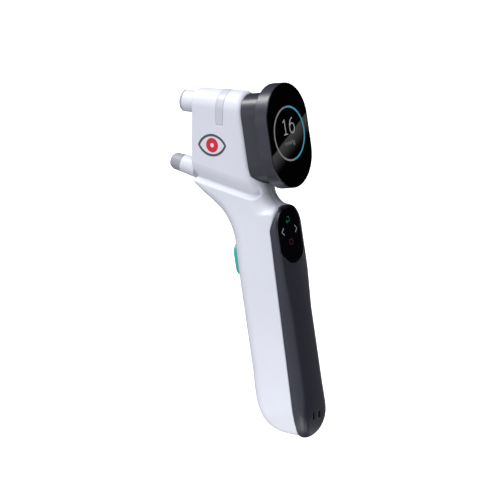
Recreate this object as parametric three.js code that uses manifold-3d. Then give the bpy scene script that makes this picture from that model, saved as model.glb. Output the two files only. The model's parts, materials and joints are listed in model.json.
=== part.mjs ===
// A handheld rebound tonometer: a white two-part housing with a dark back cover, a round reading
// screen on its own neck, a probe nose with a push-fit collar and a sliding forehead rest.
// Millimetres, +Z up, +Y towards the patient, X across the instrument, which is symmetric in X.
//
// Everything is designed from the middle of the screen's face. Two frames are used:
// - the head frame: y level towards the patient, z up
// - the grip frame: y and z turned by LEAN, square to the screen and along the handle

import * as THREE from 'three';
import { mergeVertices } from 'three/addons/utils/BufferGeometryUtils.js';
import Module from 'manifold-3d';

const wasm = await Module();
wasm.setup();

// ---------- driving dimensions ----------

const DEGREE = Math.PI / 180;
const GAP = 0.3;
const WALL = 2.2;
const LEAN = 9.7 * DEGREE;

// screen head
const FACE_WIDTH = 46.6;
const FACE_HEIGHT = 66.6;
const FACE_DROP = 1.1;
const SCREEN_DEPTH = 9.4;
const GLASS_THICKNESS = 1.8;
const NECK_WIDTH = 25.2;
const NECK_HEIGHT = 55.5;
const NECK_DROP = 2.1;
const NECK_END = 26.3;

// handle, in the grip frame
const GRIP_HALF_WIDTH = 14.5;
const GRIP_FRONT = 47.9;
const GRIP_FRONT_RADIUS = 11;
const GRIP_NECK_HALF_WIDTH = 12.4;
const COVER_BACK = 8.0;
const COVER_TOP = -44.4;
const COVER_BOTTOM = -193.2;
const HEEL_ROUND = 21;
const COVER_SEAM_TOP = 15.2;
const COVER_SEAM_BOTTOM = 17.5;
const COVER_CROWN_RADIUS = 40;
const COVER_WALL = 2;
const COVER_FRONT = 24;
const WINDOW_WIDTH = 27.2;
const WINDOW_MARGIN = 0.9;
const WINDOW_BOTTOM = -82.4;
const WINDOW_THICKNESS = 1.2;

// white head, in the head frame
const HEAD_FRONT = 67;
const RIDGE_FRONT = { y: 70, z: 12.4, radius: 9.5 };
const RIDGE_REAR = { y: 14, z: 11.7, radius: 13.0 };
const CHIN_Z = -38.4;
const CHIN_SLOPE = 35 * DEGREE;
const CHIN_HALF_WIDTH = 13.4;
const CHIN_ROUND = 8.5;
const BAND_START = 42.3;
const BAND_END = 47.9;
const BAND_BOTTOM = 2;
const BAND_THICKNESS = 1.2;

// forehead rest
const REST_Z = 12.7;
const REST_RADIUS = 7.0;
const REST_BORE = 5.4;
const REST_BACK = 41.8;
const REST_FRONT = 76.4;
const REST_PAD = 1.6;

// probe nose, along its own axis from the joint between nose and collar
const NOSE_MOUTH_Y = 78.4;
const NOSE_MOUTH_Z = -27.8;
const NOSE_TILT = 9.4 * DEGREE;
const NOSE_LENGTH = 11.2;
const NOSE_TIP_RADIUS = 5.7;
const NOSE_ROOT_RADIUS = 6.4;
const NOSE_PLUG_RADIUS = 4.9;
const NOSE_PLUG_LENGTH = 7;
const NOSE_BORE = 3.2;
const COLLAR_LENGTH = 8.4;
const COLLAR_SPIGOT = 2.9;
const COLLAR_SPIGOT_LENGTH = 15;
const PROBE_BORE = 1.3;

// side scoops beside the nose
const SCOOP_RADIUS = 7.7;
const SCOOP_OFFSET = 16.3;
const SCOOP_LENGTH = 56.5;
const SCOOP_WALL = 1.6;

// measuring button, in the grip frame
const BUTTON_Z = -77;
const BUTTON_LENGTH = 21;
const BUTTON_WIDTH = 12;
const BUTTON_STANDS_OUT = 2.9;

// wider than the whole instrument, for cutting shapes drawn as side views
const BEYOND_SIDES = 20;

// screws that hold the two halves of the housing
const BOSS_RADIUS = 3;
const SCREW_RADIUS = 0.95;
const SCREW_HEAD_RADIUS = 1.9;
const SCREW_HEAD_HEIGHT = 1.4;
const SCREW_REACH = 6;

// ---------- looks ----------

const WHITE = { color: 0xe2e2ec, roughness: 0.35, metalness: 0 };
const SLATE = { color: 0x44454d, roughness: 0.5, metalness: 0 };
const BLACK_GLASS = { color: 0x050507, roughness: 0.08, metalness: 0 };
const COLLAR_GREY = { color: 0xa5a5a8, roughness: 0.5, metalness: 0 };
const BAND_WHITE = { color: 0xc4c4ce, roughness: 0.3, metalness: 0 };
const TEAL = { color: 0x2fa59a, roughness: 0.4, metalness: 0 };
const BOARD_GREEN = { color: 0x1f5a38, roughness: 0.6, metalness: 0 };
const RUBBER_GREY = { color: 0x6a6a70, roughness: 0.8, metalness: 0 };
const PLAIN_PLASTIC = { color: 0x2c2c30, roughness: 0.6, metalness: 0 };
const STEEL = { color: 0xb8babd, roughness: 0.35, metalness: 1 };
const BRASS = { color: 0xc8a24a, roughness: 0.35, metalness: 1 };
const COPPER = { color: 0xb46a3a, roughness: 0.4, metalness: 1 };
const CELL_BLUE = { color: 0x2e5a8c, roughness: 0.45, metalness: 0 };

// ---------- solids ----------

// A closed three.js geometry as a solid that can be joined and cut.
function solidOf(geometry) {
  const plain = geometry.index ? geometry.toNonIndexed() : geometry.clone();
  plain.deleteAttribute('normal');
  plain.deleteAttribute('uv');
  const merged = mergeVertices(plain, 1e-4);
  const mesh = new wasm.Mesh({
    numProp: 3,
    vertProperties: Float32Array.from(merged.attributes.position.array),
    triVerts: Uint32Array.from(merged.index.array),
  });
  return new wasm.Manifold(mesh);
}

function geometryOf(solid) {
  const mesh = solid.getMesh();
  const geometry = new THREE.BufferGeometry();
  geometry.setAttribute('position', new THREE.BufferAttribute(Float32Array.from(mesh.vertProperties), 3));
  geometry.setIndex(new THREE.BufferAttribute(Uint32Array.from(mesh.triVerts), 1));
  geometry.computeVertexNormals();
  return geometry;
}

// A point of the grip frame in the head frame, as the (y, z) of a side view.
function gripPoint(y, z) {
  return new THREE.Vector2(
    y * Math.cos(LEAN) + z * Math.sin(LEAN),
    z * Math.cos(LEAN) - y * Math.sin(LEAN),
  );
}

function turnedWithGrip(geometry) {
  return geometry.rotateX(-LEAN);
}

function turnedBack(geometry) {
  return geometry.rotateX(LEAN);
}

// An outline drawn in x and z, made solid from y = start to y = start + depth.
function plate(outline, start, depth, bevel = 0, segments = 10) {
  const geometry = new THREE.ExtrudeGeometry(outline, {
    depth: depth - 2 * bevel,
    bevelEnabled: bevel > 0,
    bevelThickness: bevel,
    bevelSize: bevel,
    bevelOffset: -bevel,
    bevelSegments: 2,
    curveSegments: segments,
  });
  geometry.rotateX(Math.PI / 2);
  geometry.translate(0, start + depth - bevel, 0);
  return geometry;
}

// A side view drawn in y and z, made solid to the same width on both sides of the middle.
function sideSlab(outline, halfWidth, segments = 10) {
  const geometry = new THREE.ExtrudeGeometry(outline, {
    depth: 2 * halfWidth,
    bevelEnabled: false,
    curveSegments: segments,
  });
  const yUp = new THREE.Matrix4().makeBasis(
    new THREE.Vector3(0, 1, 0),
    new THREE.Vector3(0, 0, 1),
    new THREE.Vector3(1, 0, 0),
  );
  geometry.applyMatrix4(yUp);
  geometry.translate(-halfWidth, 0, 0);
  return geometry;
}

// An outline drawn in x and y, made solid from z = bottom upwards.
function column(outline, bottom, height, segments = 10) {
  const geometry = new THREE.ExtrudeGeometry(outline, {
    depth: height,
    bevelEnabled: false,
    curveSegments: segments,
  });
  geometry.translate(0, 0, bottom);
  return geometry;
}

function block(width, depth, height, x, y, z) {
  const geometry = new THREE.BoxGeometry(width, depth, height);
  geometry.translate(x, y, z);
  return geometry;
}

// A turned piece about the y axis, from [radius, y] corners that start and end on the axis
// or close on themselves.
function turned(corners, segments = 28) {
  const points = corners.map(([radius, y]) => new THREE.Vector2(radius, y));
  return new THREE.LatheGeometry(points, segments);
}

// A tube about the y axis.
function sleeve(inner, outer, start, end, segments = 28) {
  return turned([[inner, start], [outer, start], [outer, end], [inner, end], [inner, start]], segments);
}

function rod(radius, start, end, segments = 20) {
  return turned([[0, start], [radius, start], [radius, end], [0, end]], segments);
}

// ---------- outlines ----------

function stadium(width, top, bottom) {
  const radius = width / 2;
  const outline = new THREE.Shape();
  outline.moveTo(radius, bottom + radius);
  outline.lineTo(radius, top - radius);
  outline.absarc(0, top - radius, radius, 0, Math.PI, false);
  outline.lineTo(-radius, bottom + radius);
  outline.absarc(0, bottom + radius, radius, Math.PI, 2 * Math.PI, false);
  return outline;
}

// Side view of the white housing, drawn once in the head frame and moved inwards by inset.
function housingSideView(inset) {
  const outline = new THREE.Shape();
  const start = gripPoint(NECK_END, 34);
  outline.moveTo(start.x, start.y);
  outline.lineTo(...gripPoint(NECK_END, -30));
  outline.splineThru([gripPoint(23.2, -37.5), gripPoint(20.6, -44.5), gripPoint(COVER_SEAM_TOP, -53)]);
  outline.lineTo(...gripPoint(COVER_SEAM_BOTTOM, -186));
  outline.lineTo(...gripPoint(COVER_SEAM_BOTTOM + 0.4, -189));
  outline.splineThru([
    gripPoint(26, -186.2), gripPoint(34.4, -181.8), gripPoint(40.4, -176),
    gripPoint(45, -167.5), gripPoint(GRIP_FRONT, -152),
  ]);
  outline.lineTo(...gripPoint(GRIP_FRONT, -70));
  outline.splineThru([gripPoint(49, -53), gripPoint(53.4, -44.4), gripPoint(60.2, -36.6)]);
  outline.lineTo(HEAD_FRONT - 1.5, -38.2);
  outline.quadraticCurveTo(HEAD_FRONT, -37.1, HEAD_FRONT, -35.4);
  outline.lineTo(HEAD_FRONT, 24);
  outline.lineTo(HEAD_FRONT - 2, 26);
  const points = outline.getPoints(5);
  return new THREE.Shape(inset ? movedInwards(points, inset) : points);
}

// Moves each side of an anticlockwise outline inwards by the same distance.
function movedInwards(points, distance) {
  const closed = points.filter((point, i) => point.distanceTo(points[(i + 1) % points.length]) > 1e-6);
  return closed.map((point, i) => {
    const before = closed[(i + closed.length - 1) % closed.length];
    const after = closed[(i + 1) % closed.length];
    const first = point.clone().sub(before).normalize();
    const second = after.clone().sub(point).normalize();
    const inwards = new THREE.Vector2(-first.y - second.y, first.x + second.x).normalize();
    const stretch = 1 / Math.max(0.5, inwards.dot(new THREE.Vector2(-first.y, first.x)));
    return point.clone().addScaledVector(inwards, distance * stretch);
  });
}

// The handle from above: flat at the seam with the back cover, rounded where the fingers hold it.
function gripPlanView(inset) {
  const half = GRIP_HALF_WIDTH - inset;
  const front = GRIP_FRONT - inset;
  const radius = GRIP_FRONT_RADIUS - inset;
  const outline = new THREE.Shape();
  outline.moveTo(-half, COVER_SEAM_TOP - 6);
  outline.lineTo(half, COVER_SEAM_TOP - 6);
  outline.lineTo(half, front - radius);
  outline.absarc(half - radius, front - radius, radius, 0, Math.PI / 2, false);
  outline.absarc(radius - half, front - radius, radius, Math.PI / 2, Math.PI, false);
  return outline;
}

// The handle from behind: round at the bottom, narrowing where it runs up into the neck.
function gripRearView(inset) {
  const half = GRIP_HALF_WIDTH - inset;
  const neck = GRIP_NECK_HALF_WIDTH - inset;
  const outline = new THREE.Shape();
  const heel = COVER_BOTTOM + HEEL_ROUND;
  outline.moveTo(half, heel);
  outline.lineTo(half, -66);
  outline.bezierCurveTo(half, -52, neck, -50, neck, -34);
  outline.lineTo(-neck, -34);
  outline.bezierCurveTo(-neck, -50, -half, -52, -half, -66);
  outline.lineTo(-half, heel);
  outline.absellipse(0, heel, half, HEEL_ROUND - inset, Math.PI, 2 * Math.PI, false);
  return outline;
}

// ---------- the housing's outside, at any depth below its surface ----------

function ridgeSolid(inset) {
  const { y: frontY, z: frontZ } = RIDGE_FRONT;
  const { y: rearY, z: rearZ } = RIDGE_REAR;
  const length = Math.hypot(frontY - rearY, frontZ - rearZ);
  const cone = new THREE.CylinderGeometry(
    RIDGE_FRONT.radius - inset, RIDGE_REAR.radius - inset, length, 40,
  );
  cone.rotateX(Math.atan2(frontZ - rearZ, frontY - rearY));
  cone.translate(0, (frontY + rearY) / 2, (frontZ + rearZ) / 2);
  return solidOf(cone);
}

function headSlabSolid(inset) {
  const front = RIDGE_FRONT.radius - inset;
  const rear = RIDGE_REAR.radius - inset;
  const outline = new THREE.Shape();
  outline.moveTo(rear, RIDGE_REAR.y);
  outline.lineTo(front, RIDGE_FRONT.y);
  outline.lineTo(-front, RIDGE_FRONT.y);
  outline.lineTo(-rear, RIDGE_REAR.y);
  return solidOf(column(outline, -64, 64 + RIDGE_REAR.z + 0.6)).intersect(chinSolid(inset));
}

// Rounds the chin's underside: an arch section run along the chin's slope.
function chinSolid(inset) {
  const half = CHIN_HALF_WIDTH - inset;
  const outline = new THREE.Shape();
  outline.moveTo(half, 90);
  outline.lineTo(-half, 90);
  outline.lineTo(-half, CHIN_ROUND);
  outline.absellipse(0, CHIN_ROUND, half, CHIN_ROUND - inset, Math.PI, 2 * Math.PI, false);
  const keel = plate(outline, -110, 160, 0, 10);
  keel.rotateX(CHIN_SLOPE);
  return solidOf(keel.translate(0, HEAD_FRONT, CHIN_Z));
}

function gripSolid(inset) {
  const plan = solidOf(turnedWithGrip(column(gripPlanView(inset), -200, 170, 8)));
  const rear = solidOf(turnedWithGrip(plate(gripRearView(inset), 5, 50, 0, 8)));
  return plan.intersect(rear);
}

function headSolid(inset) {
  return ridgeSolid(inset).add(headSlabSolid(inset));
}

function scoopSolid(side, extra) {
  const length = SCOOP_LENGTH + 30;
  const scoop = new THREE.CapsuleGeometry(SCOOP_RADIUS + extra, length, 6, 24);
  scoop.translate(side * SCOOP_OFFSET, 30 - length / 2, 0);
  scoop.rotateX(NOSE_TILT);
  scoop.translate(0, NOSE_MOUTH_Y, NOSE_MOUTH_Z);
  return solidOf(scoop);
}

function housingSolid(inset) {
  const sides = solidOf(sideSlab(housingSideView(inset), BEYOND_SIDES));
  const scoops = scoopSolid(1, inset ? SCOOP_WALL : 0).add(scoopSolid(-1, inset ? SCOOP_WALL : 0));
  return sides.intersect(headSolid(inset).add(gripSolid(inset))).subtract(scoops);
}

// ---------- the scene ----------

const instrument = new THREE.Group();
const head = new THREE.Group();
const grip = new THREE.Group();
grip.rotation.x = -LEAN;
const nose = new THREE.Group();
nose.position.set(0, NOSE_MOUTH_Y, NOSE_MOUTH_Z);
nose.rotation.x = NOSE_TILT;
instrument.add(head, grip, nose);

function place(group, name, shape, look, position = [0, 0, 0], rotation = [0, 0, 0]) {
  const geometry = shape.isBufferGeometry ? shape : geometryOf(shape);
  const mesh = new THREE.Mesh(geometry, new THREE.MeshStandardMaterial(look));
  mesh.name = name;
  mesh.position.set(...position);
  mesh.rotation.set(...rotation);
  group.add(mesh);
}

// The same geometry, moved from the nose's own axis into the head frame.
function alongNose(geometry) {
  geometry.rotateX(NOSE_TILT);
  return geometry.translate(0, NOSE_MOUTH_Y, NOSE_MOUTH_Z);
}

// ---------- back cover and keypad window ----------

// Side view of the back cover in the grip frame, before the housing is cut from it: square at
// the top, long curve at the heel.
function coverSideView(inset) {
  const outline = new THREE.Shape();
  const back = COVER_BACK + inset;
  const bottom = COVER_BOTTOM + inset;
  const top = COVER_TOP - inset;
  const toe = COVER_SEAM_BOTTOM + GAP;
  outline.moveTo(toe, bottom);
  outline.lineTo(COVER_FRONT, COVER_TOP - 20);
  outline.lineTo(COVER_FRONT, top);
  outline.lineTo(back + 1.2, top);
  outline.quadraticCurveTo(back, top, back, top - 1.2);
  outline.lineTo(back, -162);
  outline.bezierCurveTo(back, -177, back + 3, bottom + 4, toe, bottom);
  return outline;
}

function coverSolid(inset) {
  const sides = solidOf(sideSlab(coverSideView(inset), BEYOND_SIDES, 8));
  const half = GRIP_HALF_WIDTH - inset;
  const heel = COVER_BOTTOM + HEEL_ROUND;
  const outline = new THREE.Shape();
  outline.absarc(0, COVER_TOP - GRIP_HALF_WIDTH, half, 0, Math.PI, false);
  outline.absellipse(0, heel, half, HEEL_ROUND - inset, Math.PI, 2 * Math.PI, false);
  const rear = solidOf(plate(outline, 5, 22, 0, 14));
  const crown = new THREE.CylinderGeometry(
    COVER_CROWN_RADIUS - inset, COVER_CROWN_RADIUS - inset, 170, 120,
  );
  crown.rotateX(Math.PI / 2);
  crown.translate(0, COVER_BACK + COVER_CROWN_RADIUS, (COVER_TOP + COVER_BOTTOM) / 2);
  return sides.intersect(rear).intersect(solidOf(crown));
}

function windowPrism(extra) {
  const outline = stadium(WINDOW_WIDTH + 2 * extra, COVER_TOP - WINDOW_MARGIN + extra, WINDOW_BOTTOM - extra);
  return solidOf(plate(outline, 0, COVER_BACK + 3.9, 0, 14));
}

const STRAP_SLOT_X = 3.2;
const STRAP_SLOT_Z = -178.6;
const STRAP_SLOT_WIDTH = 1.7;
const STRAP_SLOT_LENGTH = 4.6;

function strapSlot(side) {
  const top = STRAP_SLOT_Z + STRAP_SLOT_LENGTH / 2;
  const bottom = STRAP_SLOT_Z - STRAP_SLOT_LENGTH / 2;
  const slot = plate(stadium(STRAP_SLOT_WIDTH, top, bottom), 0, 16, 0, 5);
  return solidOf(slot.translate(side * STRAP_SLOT_X, 0, 0));
}

const coverSkin = coverSolid(0).subtract(coverSolid(COVER_WALL)).subtract(
  solidOf(turnedBack(sideSlab(housingSideView(-GAP), BEYOND_SIDES))),
);
const windowSeat = windowPrism(GAP).subtract(coverSolid(WINDOW_THICKNESS + GAP));
const cableSlot = solidOf(block(9, 14, 5, 0, 10, -76));
place(grip, 'grip_back_cover',
  coverSkin.subtract(windowSeat).subtract(cableSlot).subtract(strapSlot(1)).subtract(strapSlot(-1)), SLATE);
place(grip, 'keypad_window',
  windowPrism(0).intersect(coverSolid(0)).subtract(coverSolid(WINDOW_THICKNESS)), BLACK_GLASS);
place(grip, 'keypad_touch_board', plate(stadium(20, -50, -80), 12.6, 1.2, 0, 8), BOARD_GREEN);

// ---------- housing halves ----------

const SCREW_PLACES = [
  { name: 'housing_screw_front', y: 58, z: -8 },
  { name: 'housing_screw_rear', y: 36.6, z: -11 },
  { name: 'housing_screw_neck', y: gripPoint(36, -53).x, z: gripPoint(36, -53).y },
  { name: 'housing_screw_grip', y: gripPoint(40, -91.5).x, z: gripPoint(40, -91.5).y },
  { name: 'housing_screw_heel', y: gripPoint(31, -176).x, z: gripPoint(31, -176).y },
];
const BOSS_HALF_LENGTH = 13;
const SCREW_HEAD_X = 7.4;

function acrossRod(radius, from, to, spot, segments = 16) {
  const geometry = rod(radius, from, to, segments);
  geometry.rotateZ(-Math.PI / 2);
  return solidOf(geometry.translate(0, spot.y, spot.z));
}

// What the bosses leave open: the screw's clearance, its head's well and the pilot hole.
function screwWell(spot) {
  const well = acrossRod(SCREW_HEAD_RADIUS + GAP, SCREW_HEAD_X - SCREW_HEAD_HEIGHT - GAP, 25, spot);
  const shank = acrossRod(SCREW_RADIUS + GAP, -SCREW_REACH - GAP, SCREW_HEAD_X, spot, 12);
  return well.add(shank);
}

function buttonOutline(extra) {
  const half = BUTTON_LENGTH / 2 + extra;
  return stadium(BUTTON_WIDTH + 2 * extra, BUTTON_Z + half, BUTTON_Z - half);
}

function housing() {
  const bosses = SCREW_PLACES.map((spot) => acrossRod(BOSS_RADIUS, -BOSS_HALF_LENGTH, BOSS_HALF_LENGTH, spot));
  const outside = housingSolid(0);
  let cavity = housingSolid(WALL);
  bosses.forEach((boss) => { cavity = cavity.subtract(boss); });

  const seamWindow = turnedWithGrip(block(20, 16, 118, 0, 16, -121));
  const seamTop = turnedWithGrip(block(20, 10, 14, 0, 16.5, -69));
  const restBore = rod(REST_RADIUS + GAP, 30, 72, 28).translate(0, 0, REST_Z);
  const noseBore = alongNose(rod(NOSE_PLUG_RADIUS + GAP, -40, 10, 24));
  const noseSeat = alongNose(rod(NOSE_ROOT_RADIUS + GAP, -NOSE_LENGTH - GAP, 10, 24));
  const buttonHole = turnedWithGrip(plate(buttonOutline(GAP), 40, 12, 0, 6));
  const cableHole = turnedWithGrip(rod(5, 24, 32, 20));
  const bandSlot = solidOf(block(40, BAND_END - BAND_START + GAP, 40, 0, (BAND_START + BAND_END) / 2,
    BAND_BOTTOM + 20 - GAP / 2)).subtract(headSolid(BAND_THICKNESS + GAP));

  const cuts = [seamWindow, seamTop, restBore, noseBore, noseSeat, buttonHole, cableHole].map(solidOf);
  let shell = outside.subtract(cavity).subtract(bandSlot);
  [...cuts, ...SCREW_PLACES.map(screwWell)].forEach((cut) => { shell = shell.subtract(cut); });
  return shell;
}

const shell = housing();
const halfSpace = (side) => solidOf(block(40, 160, 280, side * (20 + GAP / 2), 30, -80));
place(head, 'housing_left', shell.intersect(halfSpace(-1)), WHITE);
place(head, 'housing_right', shell.intersect(halfSpace(1)), WHITE);

SCREW_PLACES.forEach((spot) => {
  const screw = turned([
    [0, -SCREW_REACH], [SCREW_RADIUS, -SCREW_REACH + 1], [SCREW_RADIUS, SCREW_HEAD_X - SCREW_HEAD_HEIGHT],
    [SCREW_HEAD_RADIUS, SCREW_HEAD_X - SCREW_HEAD_HEIGHT], [SCREW_HEAD_RADIUS, SCREW_HEAD_X - 0.3],
    [SCREW_HEAD_RADIUS - 0.4, SCREW_HEAD_X], [0, SCREW_HEAD_X],
  ], 14);
  place(head, spot.name, screw, STEEL, [0, spot.y, spot.z], [0, 0, -Math.PI / 2]);
});

const bandZone = solidOf(block(40, BAND_END - BAND_START, 40, 0, (BAND_START + BAND_END) / 2, BAND_BOTTOM + 20));
place(head, 'light_band', headSolid(0).subtract(headSolid(BAND_THICKNESS)).intersect(bandZone), BAND_WHITE);
[['band_lamp_board_left', -1], ['band_lamp_board_right', 1]].forEach(([name, side]) => {
  place(head, name, new THREE.BoxGeometry(0.8, 4.6, 8), BOARD_GREEN,
    [side * 8.2, (BAND_START + BAND_END) / 2, BAND_BOTTOM - 6]);
});

// ---------- screen ----------

function faceOutline(inset) {
  const top = FACE_HEIGHT / 2 - FACE_DROP;
  return stadium(FACE_WIDTH - 2 * inset, top - inset, top - FACE_HEIGHT + inset);
}

function neckOutline(inset) {
  const top = NECK_HEIGHT / 2 - NECK_DROP;
  return stadium(NECK_WIDTH - 2 * inset, top - inset, top - NECK_HEIGHT + inset);
}

const bezelStart = GLASS_THICKNESS + GAP;
const floorStart = SCREEN_DEPTH - 2;
const bezelBody = solidOf(plate(faceOutline(0), bezelStart, SCREEN_DEPTH - bezelStart, 0.8, 14));
const bezelCavity = solidOf(plate(faceOutline(3), 0, floorStart, 0, 14));
const cableWay = solidOf(rod(5, 5, 30, 20));
place(grip, 'display_bezel', bezelBody.subtract(bezelCavity).subtract(cableWay), SLATE);
place(grip, 'display_glass', plate(faceOutline(0), 0, GLASS_THICKNESS, 0.6, 16), BLACK_GLASS);
place(grip, 'display_module', rod(19, 2.3, 3.9, 40), PLAIN_PLASTIC);
place(grip, 'display_board', plate(stadium(36, 27, -27), 4.3, 1.2, 0, 8), BOARD_GREEN);

const neckStart = SCREEN_DEPTH + GAP;
const neckBody = solidOf(plate(neckOutline(0), neckStart, NECK_END - GAP - neckStart, 0, 12));
const neckCavity = solidOf(plate(neckOutline(WALL), neckStart - 1, NECK_END - GAP - 2.4 - neckStart, 0, 12));
place(grip, 'display_neck', neckBody.subtract(neckCavity).subtract(cableWay), SLATE);

// ---------- forehead rest ----------

place(head, 'forehead_rest_tube', sleeve(REST_BORE, REST_RADIUS, REST_BACK, REST_FRONT), WHITE, [0, 0, REST_Z]);
place(head, 'forehead_rest_pad', turned([
  [0, REST_FRONT + GAP], [REST_RADIUS - 0.1, REST_FRONT + GAP], [REST_RADIUS - 0.1, REST_FRONT + 1],
  [REST_RADIUS - 0.5, REST_FRONT + REST_PAD], [0, REST_FRONT + REST_PAD],
]), RUBBER_GREY, [0, 0, REST_Z]);
place(head, 'rest_guide_sleeve', sleeve(REST_RADIUS + GAP, 7.75, 43, 52, 28), PLAIN_PLASTIC, [0, 0, REST_Z]);
place(head, 'rest_brake_pad', new THREE.BoxGeometry(5, 6, 2.4), RUBBER_GREY, [0, 56, REST_Z - REST_RADIUS - 1.5]);

// ---------- probe nose ----------

const noseRoot = -NOSE_LENGTH;
place(nose, 'nose_cone', turned([
  [NOSE_BORE, noseRoot - NOSE_PLUG_LENGTH], [NOSE_PLUG_RADIUS, noseRoot - NOSE_PLUG_LENGTH],
  [NOSE_PLUG_RADIUS, noseRoot], [NOSE_ROOT_RADIUS, noseRoot],
  [NOSE_TIP_RADIUS, -GAP], [NOSE_BORE, -GAP], [NOSE_BORE, noseRoot - NOSE_PLUG_LENGTH],
]), WHITE);
place(nose, 'probe_collar', turned([
  [PROBE_BORE, -COLLAR_SPIGOT_LENGTH], [COLLAR_SPIGOT, -COLLAR_SPIGOT_LENGTH], [COLLAR_SPIGOT, 0],
  [NOSE_TIP_RADIUS, 0], [5, COLLAR_LENGTH - 2.2], [4.5, COLLAR_LENGTH - 0.9], [3.7, COLLAR_LENGTH - 0.2],
  [3, COLLAR_LENGTH], [PROBE_BORE, COLLAR_LENGTH], [PROBE_BORE, -COLLAR_SPIGOT_LENGTH],
]), COLLAR_GREY);
const driveStart = noseRoot - NOSE_PLUG_LENGTH - GAP;
place(nose, 'probe_base', sleeve(PROBE_BORE, 1.9, driveStart - 22, driveStart, 18), BRASS);
place(nose, 'coil_bobbin', turned([
  [2.2, driveStart - 20], [4.5, driveStart - 20], [4.5, driveStart - 19], [2.8, driveStart - 19],
  [2.8, driveStart - 1], [4.5, driveStart - 1], [4.5, driveStart], [2.2, driveStart],
  [2.2, driveStart - 20],
], 20), PLAIN_PLASTIC);
place(nose, 'drive_coil', sleeve(3.1, 4.4, driveStart - 9.6, driveStart - 1.3, 20), COPPER);
place(nose, 'sense_coil', sleeve(3.1, 4.4, driveStart - 18.7, driveStart - 10.4, 20), COPPER);
place(nose, 'coil_shield', sleeve(4.8, 5.3, driveStart - 19.5, driveStart - 0.5, 24), STEEL);

// ---------- electronics and battery ----------

place(head, 'amplifier_board', new THREE.BoxGeometry(1.2, 13, 18), BOARD_GREEN, [4, 47.6, -9]);
place(grip, 'main_board', new THREE.BoxGeometry(20, 1.4, 104), BOARD_GREEN, [0, 21.4, -114]);
place(grip, 'beeper', rod(5.5, 22.4, 25.2, 24), PLAIN_PLASTIC, [0, 0, -88]);

const CELL_RADIUS = 9.1;
const CELL_Y = 34.2;
const CELL_BOTTOM = -162;
const CELL_TOP = -97;
const cradleOutline = new THREE.Shape();
cradleOutline.absarc(0, CELL_Y, CELL_RADIUS + GAP + 1.2, Math.PI, 2 * Math.PI, false);
cradleOutline.absarc(0, CELL_Y, CELL_RADIUS + GAP, 2 * Math.PI, Math.PI, true);
place(grip, 'battery_cell', turned([
  [0, 0], [CELL_RADIUS - 0.6, 0], [CELL_RADIUS, 0.6], [CELL_RADIUS, CELL_TOP - CELL_BOTTOM - 1.8],
  [CELL_RADIUS - 0.6, CELL_TOP - CELL_BOTTOM - 1.2], [3, CELL_TOP - CELL_BOTTOM - 1.2],
  [3, CELL_TOP - CELL_BOTTOM], [0, CELL_TOP - CELL_BOTTOM],
], 24), CELL_BLUE, [0, CELL_Y, CELL_BOTTOM], [Math.PI / 2, 0, 0]);
place(grip, 'battery_cradle', column(cradleOutline, CELL_BOTTOM, CELL_TOP - CELL_BOTTOM, 14), PLAIN_PLASTIC);
place(grip, 'battery_contact_top', new THREE.BoxGeometry(9, 8, 0.5), BRASS, [0, CELL_Y, CELL_TOP + 0.6]);
place(grip, 'battery_contact_bottom', new THREE.BoxGeometry(9, 8, 0.5), BRASS, [0, CELL_Y, CELL_BOTTOM - 0.6]);

const ribbonPath = new THREE.CatmullRomCurve3([
  new THREE.Vector3(0, 5.9, 0), new THREE.Vector3(0, 16, 0), new THREE.Vector3(0, 27, -0.6),
  new THREE.Vector3(0, 31.5, -7), new THREE.Vector3(0, 30.5, -24), new THREE.Vector3(0, 27.4, -44),
  new THREE.Vector3(0, 23.6, -60),
]);
const ribbonSection = new THREE.Shape();
const RIBBON_WIDTH = 6;
const RIBBON_THICKNESS = 0.5;
ribbonSection.moveTo(-RIBBON_WIDTH / 2, -RIBBON_THICKNESS / 2);
ribbonSection.lineTo(RIBBON_WIDTH / 2, -RIBBON_THICKNESS / 2);
ribbonSection.lineTo(RIBBON_WIDTH / 2, RIBBON_THICKNESS / 2);
ribbonSection.lineTo(-RIBBON_WIDTH / 2, RIBBON_THICKNESS / 2);
place(grip, 'display_ribbon', new THREE.ExtrudeGeometry(ribbonSection, {
  steps: 26, bevelEnabled: false, extrudePath: ribbonPath,
}), BRASS);

// ---------- measuring button ----------

const buttonCap = solidOf(plate(buttonOutline(0), 43, GRIP_FRONT + BUTTON_STANDS_OUT - 43, 0.7, 8));
const buttonFlange = solidOf(plate(buttonOutline(0.9), 42.6, 1.4, 0, 8));
const buttonStem = solidOf(rod(2, 40.2, 43.2, 16).translate(0, 0, BUTTON_Z));
place(grip, 'measure_button', buttonCap.add(buttonFlange).add(buttonStem), TEAL);
place(grip, 'measure_switch', new THREE.BoxGeometry(7, 3.4, 7), PLAIN_PLASTIC, [0, 36.6, BUTTON_Z]);
place(grip, 'switch_board', new THREE.BoxGeometry(12, 1.2, 16), BOARD_GREEN, [0, 34, BUTTON_Z]);

// ---------- stand the model on the origin ----------

instrument.updateMatrixWorld(true);
const bounds = new THREE.Box3().setFromObject(instrument, true);
const middle = bounds.getCenter(new THREE.Vector3());
instrument.position.set(-middle.x, -middle.y, -bounds.min.z);

export default instrument;
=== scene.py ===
"""The looks of a handheld rebound tonometer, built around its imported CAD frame.

Lengths are millimetres until a mesh is made, which turns them into metres. Two main frames are used,
both with their origin at the screen_face mount, the middle of the reading ring:
- the head frame (x, y, z): y level towards the patient, z up
- the grip frame (x, a, b): a square to the screen, into the instrument, b up along the handle
The nose and the rest also have their own (x, along, above), measured along and above their axes.
The moulded shells are distance fields meshed by surface_net, and turned or lofted pieces are rings
joined by loft.
"""

import json
import math

import bmesh
import bpy
import numpy as np
from mathutils import Matrix, Vector


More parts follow.
